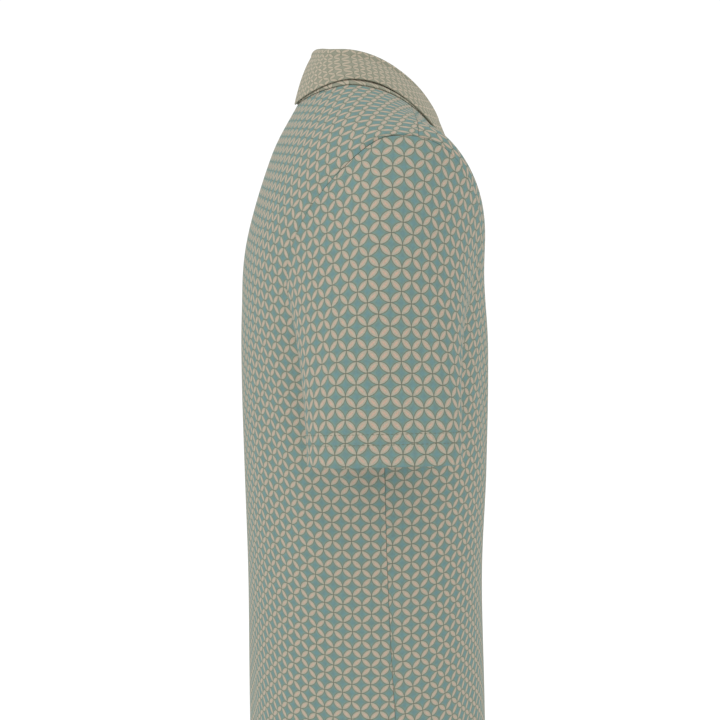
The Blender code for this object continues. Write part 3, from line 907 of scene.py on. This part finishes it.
def collar_line(place):
    """One profile of the collar from the neck seam over the fold to the leaf's turned edge."""
    station = between(COLLAR, "place", place)
    seam_place = np.array([COLLAR_END + (whole_reach(NECK_LEVEL) - COLLAR_END) * place])
    seam = on_form(NECK_LEVEL, seam_place)[0]
    run = (on_form(NECK_LEVEL, seam_place + NEARBY) - on_form(NECK_LEVEL, seam_place - NEARBY))[0]
    if place == 1:
        run = np.array((-1.0, 0, 0))
    out = unit(np.array((run[1], -run[0], 0)))
    up = np.array((0, 0, 1.0))
    foot = seam - out * COLLAR_CLOTH / 2 + up * COLLAR_LIFT
    top = foot - out * station.lean + up * (station.stand - station.roll)
    inner_level = NECK_LEVEL - COLLAR_ALLOWANCE
    inner = off_form(inner_level, seam_place[0], -ALLOWANCE_DEPTH)[0]
    points = [inner, inner * 0.5 + foot * 0.5 - out * ALLOWANCE_SAG]
    points += [foot + (top - foot) * k / STAND_ROWS for k in range(STAND_ROWS)]
    points += [top, *half_turn(top + out * station.roll, -out, up, station.roll, ROLL_ROWS)]
    start = points[-1]
    level = NECK_LEVEL - station.cover
    reach = whole_reach(level) * station.around
    edge, _ = off_form(level, reach, station.off)
    if place == 1:
        edge[0] = 0
    bend = start + (edge - start) * LEAF_BEND + out * station.bulge

    def leaf(t):
        return start * (1 - t) ** 2 + bend * (2 * t * (1 - t)) + edge * t**2

    points += [leaf(k / LEAF_ROWS) for k in range(1, LEAF_ROWS + 1)]
    down = unit(edge - bend)
    side = unit(out - down * (out @ down))
    points += half_turn(edge - side * EDGE_ROUND, side, down, EDGE_ROUND, 5)
    for share in (0.5, 1):
        points.append(leaf(1 - share * TUCK / np.linalg.norm(edge - start)) - side * 2 * EDGE_ROUND)
    points += half_turn(points[-1] - side * UNDER_TURN, side, -down, UNDER_TURN, 4)
    beyond = between(ROLLS, "place", place).beyond
    foot, facing = off_form(level - beyond, reach, UNDER_LIFT)
    if place == 1:
        foot[0] = 0
    top = points[-1]
    span = np.linalg.norm(foot - top)
    away = unit(foot - off_form(level, reach, UNDER_LIFT)[0] + out * 1e-5)
    settle = unit(away * math.copysign(0.8, beyond) - facing)
    for k in range(1, UNDER_ROWS + 1):
        points.append(hermite(top, down * span, foot, settle * span, k / UNDER_ROWS))
    return np.array(points)


left_lines = [collar_line(k / COLLAR_COLUMNS) for k in range(COLLAR_COLUMNS + 1)]
right_lines = [mirrored(line) for line in reversed(left_lines[:-1])]
collar_points = np.stack(list(reversed(left_lines + right_lines)), axis=1)
fold_row = 2 + STAND_ROWS + ROLL_ROWS // 2
up_collar, _ = run_lengths(collar_points)
round_collar = measured(collar_points[fold_row])
round_collar -= round_collar[len(round_collar) // 2]
collar_places = np.stack(np.meshgrid(round_collar, up_collar), axis=-1)
collar = cloth_piece("collar_piece", collar_points, collar_places)
COLLAR_CIRCLE = 0.0052
COLLAR_GROUND = (0.300, 0.300, 0.232)
COLLAR_PETAL = (0.465, 0.415, 0.322)
COLLAR_MIDDLE = (0.500, 0.400, 0.300)
COLLAR_LINE = (0.170, 0.185, 0.130)
collar_jersey = printed_jersey(
    "collar_jersey", COLLAR_CIRCLE, COLLAR_GROUND, COLLAR_GROUND, COLLAR_PETAL, COLLAR_MIDDLE, COLLAR_LINE
)
thicken(collar, COLLAR_THICK)
dress(collar, "collar", collar_jersey)


# ---- Hems and seams: sewing --------------------------------------------------------------------------
# The hems are held by two rows of twin needle stitches, and the placket by one row along each edge, in an
# olive polyester thread.

THREAD = 0.00045
STITCH = 0.0026
STITCH_GAP = 0.0007
SLEEVE_STITCH_HEIGHTS = (0.0142, 0.0213)
BODY_STITCH_HEIGHTS = (0.0170, 0.0235)


def at_height(points, normals, height):
    """A line of points a distance above the fold of a hem, all along it, and the way each faces."""
    line, out = [], []
    for column in range(points.shape[1]):
        outer = points[HEM_FOLD_ROW:, column]
        length = measured(outer)
        line.append(read_off(height, length, outer))
        out.append(read_off(height, length, normals[HEM_FOLD_ROW:, column]))
    return np.array(line), np.array(out)


def add_grain(bm, place, along, side, face, within=Matrix(), subdivisions=1):
    """Adds a grain of thread about a place, with its three whole axes, in the space of a matrix."""
    turn = Matrix((along, side, face)).transposed().to_4x4()
    spot = within @ Matrix.Translation(place) @ turn
    bmesh.ops.create_icosphere(bm, subdivisions=subdivisions, radius=0.5, matrix=spot)


def thread_piece(name, bm, finish):
    """The thread in a bmesh as a piece that rides with the shirt."""
    item = mesh_object(name, bm)
    item.data.materials.append(finish)
    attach(item, "root")


def sew(name, lines, finish):
    """One mesh of small long stitches along lines, each a grain of thread half sunk in the cloth."""
    bm = bmesh.new()
    for line, out in lines:
        length = measured(line)
        count = round(length[-1] / (STITCH + STITCH_GAP))
        for k in range(count):
            at = (k + 0.5) * length[-1] / count
            first, last = (Vector(read_off(at + e, length, line)) for e in (-STITCH / 2, STITCH / 2))
            face = Vector(read_off(at, length, out)).normalized()
            along = (last - first).normalized()
            side = face.cross(along)
            add_grain(bm, (first + last) / 2, along * STITCH, side * THREAD, face * THREAD)
    thread_piece(name, bm, finish)


def thread_finish(name, colour):
    """Spun polyester thread, with a soft shine and uneven dye."""
    finish = Finish(name, 0.6)
    shade = finish.noise(0.002).steps(0.3, 0.7)
    dark = tuple(c * 0.75 for c in colour) + (1,)
    finish.feed(finish.shader.inputs["Base Color"], finish.mix(shade, dark, (*colour, 1)))
    return finish.material


OLIVE = (0.150, 0.165, 0.105)
thread = thread_finish("olive_thread", OLIVE)
for sleeve_name, (points, out) in sleeves.items():
    rows = [at_height(points, out, height) for height in SLEEVE_STITCH_HEIGHTS]
    sew(sleeve_name + "_hem_stitches", rows, thread)
rows = [
    at_height(points, normals, height)
    for points, normals in ((front_points, front_normals), (back_points, back_normals))
    for height in BODY_STITCH_HEIGHTS
]
sew("body_hem_stitches", rows, thread)


STRIP_STEPS = 90


def strip_line(ends):
    """A straight line on the upper strip between two (level, reach) ends, and the way each point faces."""
    first, last = (np.array(end) for end in ends)
    places = [first * (1 - k / STRIP_STEPS) + last * k / STRIP_STEPS for k in range(STRIP_STEPS + 1)]
    line, out = zip(*(off_form(level, reach, UPPER_OUT) for level, reach in places))
    return np.array(line), np.array(out)


EDGE_STITCH = 0.0018  # from the strip's edge to its stitches
BOX_HEIGHT = 0.0200  # of the stitched box at the foot of the placket
stitch_side = PLACKET_HALF - EDGE_STITCH
stitch_foot = PLACKET_LEVEL - PLACKET_OVERLAP + EDGE_STITCH
stitch_top = NECK_LEVEL - PLACKET_SHORT - EDGE_STITCH
corners = [(stitch_foot, -stitch_side), (stitch_foot, stitch_side)]
box_top = [(level + BOX_HEIGHT, side) for level, side in corners]
lines = [(corners[0], (stitch_top, -stitch_side)), (corners[1], (stitch_top, stitch_side)), corners, box_top]
sew("placket_stitches", [strip_line(ends) for ends in lines], thread)


# ---- Buttons -----------------------------------------------------------------------------------------
# Three turned polyester buttons with a dished face and four holes, sewn on with crossed thread. Each comes
# through an upright buttonhole, whose edges are covered with satin stitches.

BUTTON_RADIUS = 0.0055
BUTTON_THICK = 0.0024
BUTTON_DROPS = (0.016, 0.074, 0.132)
BUTTON_RIM = 0.0012  # width of the rim round the dish
DISH_DEPTH = 0.0006
HOLE_RADIUS = 0.0007
HOLE_SPREAD = 0.0012  # from the middle to a hole, each way
HOLE_SIDES = 16
BUTTON_SIDES = 64
BUTTONHOLE_HALF = 0.0072
BUTTONHOLE_STITCH = 0.0010  # length of a satin stitch
BUTTONHOLE_OFF = 0.0006  # from the cut to the middle of its stitches
SATIN_PITCH = 0.0004
BAR_LENGTH = 2.2  # of the stitches that close a buttonhole's ends, in satin stitches
TIE_SHIFT = 0.00018  # from the middle of a pair of crossing threads to each
HOLES = [(x, y) for x in (-HOLE_SPREAD, HOLE_SPREAD) for y in (-HOLE_SPREAD, HOLE_SPREAD)]

button_resin = Finish("button_resin", 0.32)
streaks = button_resin.noise(0.0018, detail=4).steps(0.35, 0.75)
pearl = button_resin.mix(streaks, (0.560, 0.500, 0.390, 1), (0.400, 0.345, 0.255, 1))
button_resin.feed(button_resin.shader.inputs["Base Color"], pearl)
button_resin.shader.inputs["Coat Weight"].default_value = 0.25
button_thread = thread_finish("button_thread", (0.330, 0.320, 0.240))


def button_place(drop):
    """The level of a button, its foot's middle and the way it faces."""
    seam, _ = off_form(NECK_LEVEL, 0.0)
    level = NECK_LEVEL
    while np.linalg.norm(off_form(level, 0.0)[0] - seam) < drop:
        level -= 0.001
    return level, *off_form(level, 0.0, SOLID_CLOTH + 3 * SEAM_GAP)


def button_blank():
    """The button before it is drilled: a profile spun round its axis, from the foot to the dish."""
    edge = BUTTON_THICK * 0.28
    profile = [(0, 0), (BUTTON_RADIUS * 0.80, 0)]
    for k in range(9):
        turn = math.pi * k / 8 - math.pi / 2
        out = BUTTON_RADIUS - edge + edge * math.cos(turn)
        profile.append((out, BUTTON_THICK / 2 + (BUTTON_THICK / 2) * math.sin(turn)))
    rim = BUTTON_RADIUS - edge - BUTTON_RIM
    for k in range(1, 7):
        share = k / 6
        ease = share * share * (3 - 2 * share)
        profile.append((rim + BUTTON_RIM * 0.5 * (1 - share), BUTTON_THICK - DISH_DEPTH * ease))
    profile.append((0, BUTTON_THICK - DISH_DEPTH))
    bm = bmesh.new()
    line = [bm.verts.new((radius, 0, height)) for radius, height in profile]
    edges = [bm.edges.new(pair) for pair in zip(line, line[1:])]
    turn = {"cent": (0, 0, 0), "axis": (0, 0, 1), "angle": 2 * math.pi, "steps": BUTTON_SIDES}
    bmesh.ops.spin(bm, geom=line + edges, use_merge=True, **turn)
    bmesh.ops.remove_doubles(bm, verts=bm.verts, dist=1e-6)
    bmesh.ops.recalc_face_normals(bm, faces=bm.faces)
    return mesh_object("button_blank", bm)


def drills():
    """Four rods where the holes go."""
    bm = bmesh.new()
    size = {"radius1": HOLE_RADIUS, "radius2": HOLE_RADIUS, "depth": BUTTON_THICK * 3}
    for x, y in HOLES:
        spot = Matrix.Translation((x, y, 0))
        bmesh.ops.create_cone(bm, cap_ends=True, segments=HOLE_SIDES, matrix=spot, **size)
    return mesh_object("drills", bm)


def tie(name, spot):
    """The crossed thread over a button's dish and the threads down its holes."""
    bm = bmesh.new()
    dish = BUTTON_THICK - DISH_DEPTH
    for lean in (1, -1):
        for shift in (-TIE_SHIFT, TIE_SHIFT):
            first = Vector((-HOLE_SPREAD + shift, -HOLE_SPREAD * lean, 0))
            last = Vector((HOLE_SPREAD + shift, HOLE_SPREAD * lean, 0))
            along = (last - first).normalized()
            side = Vector((0, 0, 1)).cross(along) * THREAD * 0.8
            run = along * ((last - first).length + HOLE_RADIUS)
            place = (first + last) / 2 + Vector((0, 0, dish))
            add_grain(bm, place, run, side, Vector((0, 0, THREAD * 1.8)), spot, subdivisions=2)
    for x, y in HOLES:
        core = spot @ Matrix.Translation((x, y, BUTTON_THICK * 0.32)) @ Matrix.Diagonal((1, 1, 2.2, 1))
        bmesh.ops.create_icosphere(bm, subdivisions=1, radius=HOLE_RADIUS * 0.75, matrix=core)
    thread_piece(name, bm, button_thread)


def satin(name, lines):
    """Close stitches across lines, as round a buttonhole, with longer bars over their ends."""
    bm = bmesh.new()
    for line, out in lines:
        length = measured(line)
        count = round(length[-1] / SATIN_PITCH)
        along = Vector(line[-1] - line[0]).normalized()
        for k in range(count + 1):
            spot, face = (Vector(read_off(k / count * length[-1], length, a)) for a in (line, out))
            across = along.cross(face).normalized()
            reach = BUTTONHOLE_STITCH * (BAR_LENGTH if k in (0, 1, count - 1, count) else 1)
            add_grain(bm, spot, across * reach, along * SATIN_PITCH * 1.1, face * THREAD * 1.2)
    thread_piece(name, bm, button_thread)


blank, rods = button_blank(), drills()
drilling = blank.modifiers.new("holes", "BOOLEAN")
drilling.operation = "DIFFERENCE"
drilling.object = rods
bpy.context.view_layer.update()
drilled = bpy.data.meshes.new_from_object(blank.evaluated_get(bpy.context.evaluated_depsgraph_get()))
for tool in (blank, rods):
    bpy.data.objects.remove(tool)

for number, drop in enumerate(BUTTON_DROPS, start=1):
    level, foot, facing = button_place(drop)
    turn = Vector(facing).to_track_quat("Z", "Y").to_matrix().to_4x4()
    spot = Matrix.Translation(foot) @ turn
    mesh = drilled.copy()
    mesh.transform(spot)
    mesh.shade_smooth()
    mesh.set_sharp_from_angle(angle=math.radians(40))
    button = bpy.data.objects.new(f"button_{number}_turned", mesh)
    bpy.context.scene.collection.objects.link(button)
    dress(button, f"button_{number}", button_resin.material)

    tie(f"button_{number}_thread", spot)

    low, high = level - BUTTONHOLE_HALF, level + BUTTONHOLE_HALF
    sides = [((low, off), (high, off)) for off in (-BUTTONHOLE_OFF, BUTTONHOLE_OFF)]
    satin(f"buttonhole_{number}", [strip_line(ends) for ends in sides])
